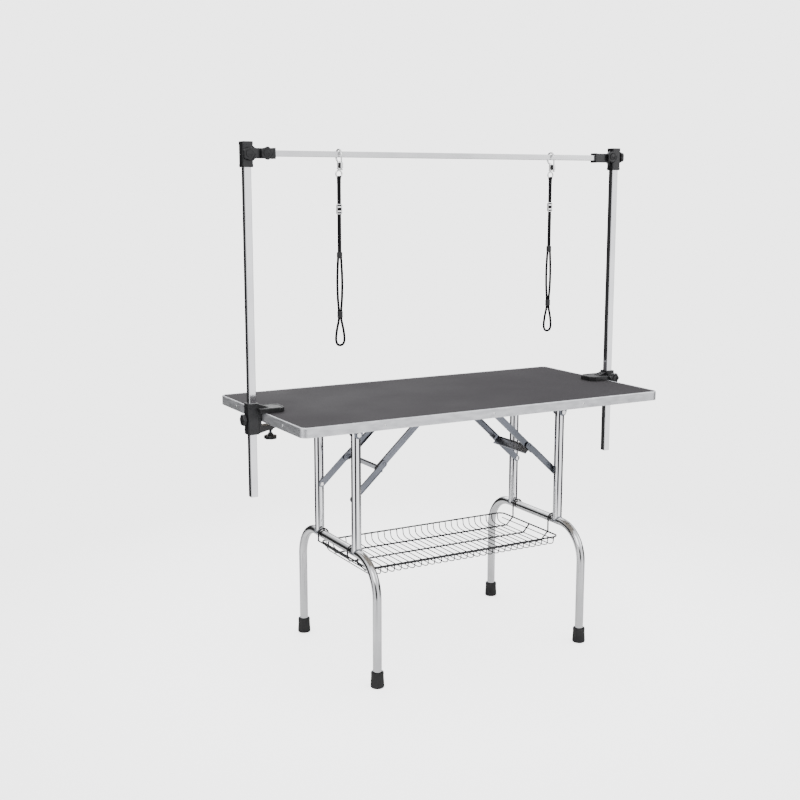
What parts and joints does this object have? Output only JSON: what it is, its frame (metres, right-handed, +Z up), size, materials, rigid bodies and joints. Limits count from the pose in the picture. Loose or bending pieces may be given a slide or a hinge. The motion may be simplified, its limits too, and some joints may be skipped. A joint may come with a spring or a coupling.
{
  "type": "pet grooming table",
  "caption": "Folding pet grooming table with a rubber-topped board, folding tube legs, a hanging wire basket and an overhead bar with tether leashes",
  "frame": {"origin": "on the floor under the centre of the whole object without its leashes, at the level of the feet's undersides", "axes": "X along the tabletop's long side, -Y towards the front, +Z up"},
  "size_m": [1.286, 0.58, 1.4805],
  "materials": {
    "rubber_top": "fine textured matt",
    "board": "raw panel with a dark sealed underside",
    "edge": "brushed",
    "chromed_tube": "polished",
    "zinc_steel": "zinc plated",
    "black_rubber": "moulded matt",
    "black_wire": "black coated wire",
    "black_plastic": "moulded satin black",
    "bar_metal": "satin",
    "nylon": "woven black nylon"
  },
  "bodies": {
    "table": {"tabletop_board": "board", "rubber_mat": "rubber_top", "edge_profile": "edge", "leg_bracket_left_front": "zinc_steel", "brace_bracket_left_front": "zinc_steel", "leg_bracket_left_back": "zinc_steel", "brace_bracket_left_back": "zinc_steel", "leg_bracket_right_front": "zinc_steel", "brace_bracket_right_front": "zinc_steel", "leg_bracket_right_back": "zinc_steel", "brace_bracket_right_back": "zinc_steel", "clamp_left": "black_plastic", "clamp_right": "black_plastic"},
    "leg_left": {"lower_frame_left": "chromed_tube", "upright_left_front": "chromed_tube", "foot_left_front": "black_rubber", "upright_left_back": "chromed_tube", "foot_left_back": "black_rubber"},
    "upper_links_left": {"tie_plate_left": "zinc_steel", "upper_link_left_front": "zinc_steel", "upper_link_left_back": "zinc_steel"},
    "lower_links_left": {"lower_link_left_front": "zinc_steel", "lower_link_left_back": "zinc_steel"},
    "leg_right": {"lower_frame_right": "chromed_tube", "upright_right_front": "chromed_tube", "foot_right_front": "black_rubber", "upright_right_back": "chromed_tube", "foot_right_back": "black_rubber"},
    "upper_links_right": {"tie_plate_right": "zinc_steel", "upper_link_right_front": "zinc_steel", "upper_link_right_back": "zinc_steel"},
    "lower_links_right": {"lower_link_right_front": "zinc_steel", "lower_link_right_back": "zinc_steel"},
    "basket": {"wire_basket": "black_wire"},
    "clamp_screw_left": {"clamp_screw_left": "zinc_steel"},
    "clamp_knob_left": {"clamp_knob_left": "black_plastic"},
    "post_left": {"post_left": "chromed_tube"},
    "clamp_screw_right": {"clamp_screw_right": "zinc_steel"},
    "clamp_knob_right": {"clamp_knob_right": "black_plastic"},
    "post_right": {"post_right": "chromed_tube"},
    "overhead": {"overhead_bar": "bar_metal", "connector_left": "black_plastic", "connector_right": "black_plastic"},
    "post_knob_left": {"post_knob_left": "black_plastic"},
    "bar_knob_left": {"bar_knob_left": "black_plastic"},
    "post_knob_right": {"post_knob_right": "black_plastic"},
    "bar_knob_right": {"bar_knob_right": "black_plastic"},
    "bolt_snap_left": {"bolt_snap_left": "chromed_tube"},
    "snap_bolt_left": {"snap_bolt_left": "chromed_tube"},
    "swivel_eye_left": {"swivel_eye_left": "chromed_tube"},
    "leash_left": {"leash_strap_left": "nylon", "leash_adjuster_left": "chromed_tube", "leash_loop_left": "nylon"},
    "bolt_snap_right": {"bolt_snap_right": "chromed_tube"},
    "snap_bolt_right": {"snap_bolt_right": "chromed_tube"},
    "swivel_eye_right": {"swivel_eye_right": "chromed_tube"},
    "leash_right": {"leash_strap_right": "nylon", "leash_adjuster_right": "chromed_tube", "leash_loop_right": "nylon"}
  },
  "joints": [
    {"name": "leg_left_fold", "type": "hinge", "parent": "table", "child": "leg_left", "pos_m": [-0.347, 0, 0.693], "axis": [0, -1, 0], "range_deg": [0, 90]},
    {"name": "upper_links_left_turn", "type": "hinge", "parent": "table", "child": "upper_links_left", "pos_m": [-0.104, 0, 0.726], "axis": [0, -1, 0], "range_deg": [-12, 0]},
    {"name": "lower_links_left_turn", "type": "hinge", "parent": "leg_left", "child": "lower_links_left", "pos_m": [-0.347, 0, 0.503], "axis": [0, -1, 0], "range_deg": [0, 81]},
    {"name": "leg_right_fold", "type": "hinge", "parent": "table", "child": "leg_right", "pos_m": [0.347, 0, 0.693], "axis": [0, 1, 0], "range_deg": [0, 85]},
    {"name": "upper_links_right_turn", "type": "hinge", "parent": "table", "child": "upper_links_right", "pos_m": [0.104, 0, 0.726], "axis": [0, 1, 0], "range_deg": [-27, 0]},
    {"name": "lower_links_right_turn", "type": "hinge", "parent": "leg_right", "child": "lower_links_right", "pos_m": [0.347, 0, 0.503], "axis": [0, 1, 0], "range_deg": [0, 58]},
    {"name": "basket_lift", "type": "slide", "parent": "table", "child": "basket", "axis": [0, 0, 1], "range_m": [0, 0.06]},
    {"name": "post_left_slide", "type": "slide", "parent": "table", "child": "post_left", "axis": [0, 0, 1], "range_m": [-0.14, 0.15]},
    {"name": "post_right_slide", "type": "slide", "parent": "table", "child": "post_right", "axis": [0, 0, 1], "range_m": [-0.14, 0.15]},
    {"name": "overhead_lift", "type": "slide", "parent": "post_left", "child": "overhead", "axis": [0, 0, 1], "range_m": [0, 0.055]},
    {"name": "post_knob_left_turn", "type": "hinge", "parent": "overhead", "child": "post_knob_left", "pos_m": [-0.61, -0.0295, 1.448], "axis": [0, -1, 0], "range_deg": [0, 720]},
    {"name": "bar_knob_left_turn", "type": "hinge", "parent": "overhead", "child": "bar_knob_left", "pos_m": [-0.56, -0.0275, 1.45], "axis": [0, -1, 0], "range_deg": [0, 720]},
    {"name": "post_knob_right_turn", "type": "hinge", "parent": "overhead", "child": "post_knob_right", "pos_m": [0.6245, -0.015, 1.453], "axis": [1, 0, 0], "range_deg": [0, 720]},
    {"name": "bar_knob_right_turn", "type": "hinge", "parent": "overhead", "child": "bar_knob_right", "pos_m": [0.588, -0.0275, 1.453], "axis": [0, -1, 0], "range_deg": [0, 720]},
    {"name": "clamp_knob_left_turn", "type": "hinge", "parent": "table", "child": "clamp_knob_left", "pos_m": [-0.626, -0.015, 0.741], "axis": [-1, 0, 0], "range_deg": [0, 720]},
    {"name": "clamp_knob_right_turn", "type": "hinge", "parent": "table", "child": "clamp_knob_right", "pos_m": [0.6045, -0.031, 0.766], "axis": [0, -1, 0], "range_deg": [0, 720]},
    {"name": "clamp_screw_left_travel", "type": "slide", "parent": "table", "child": "clamp_screw_left", "axis": [0, 0, 1], "range_m": [-0.01, 0]},
    {"name": "clamp_screw_right_travel", "type": "slide", "parent": "table", "child": "clamp_screw_right", "axis": [0, 0, 1], "range_m": [-0.01, 0]},
    {"name": "bolt_snap_left_slide", "type": "slide", "parent": "overhead", "child": "bolt_snap_left", "axis": [1, 0, 0], "range_m": [-0.15, 0.32]},
    {"name": "snap_bolt_left_pull", "type": "slide", "parent": "bolt_snap_left", "child": "snap_bolt_left", "axis": [0, 0, 1], "range_m": [-0.009, 0], "stiffness_N_per_m": 300, "springref_m": 0.004},
    {"name": "swivel_eye_left_turn", "type": "hinge", "parent": "bolt_snap_left", "child": "swivel_eye_left", "pos_m": [-0.34, -0.015, 1.398], "axis": [0, 0, 1], "continuous": true},
    {"name": "leash_left_swing", "type": "hinge", "parent": "swivel_eye_left", "child": "leash_left", "pos_m": [-0.34, -0.015, 1.389], "axis": [1, 0, 0], "range_deg": [-60, 60]},
    {"name": "bolt_snap_right_slide", "type": "slide", "parent": "overhead", "child": "bolt_snap_right", "axis": [1, 0, 0], "range_m": [-0.34, 0.12]},
    {"name": "snap_bolt_right_pull", "type": "slide", "parent": "bolt_snap_right", "child": "snap_bolt_right", "axis": [0, 0, 1], "range_m": [-0.009, 0], "stiffness_N_per_m": 300, "springref_m": 0.004},
    {"name": "swivel_eye_right_turn", "type": "hinge", "parent": "bolt_snap_right", "child": "swivel_eye_right", "pos_m": [0.37, -0.015, 1.398], "axis": [0, 0, 1], "continuous": true},
    {"name": "leash_right_swing", "type": "hinge", "parent": "swivel_eye_right", "child": "leash_right", "pos_m": [0.37, -0.015, 1.389], "axis": [1, 0, 0], "range_deg": [-60, 60]}
  ],
  "couplings": [
    {"joint": "upper_links_left_turn", "follows": "leg_left_fold", "ratio": -0.1182},
    {"joint": "lower_links_left_turn", "follows": "leg_left_fold", "ratio": 0.8818},
    {"joint": "upper_links_right_turn", "follows": "leg_right_fold", "ratio": -0.2951},
    {"joint": "lower_links_right_turn", "follows": "leg_right_fold", "ratio": 0.664},
    {"joint": "post_right_slide", "follows": "post_left_slide", "ratio": 1}
  ]
}
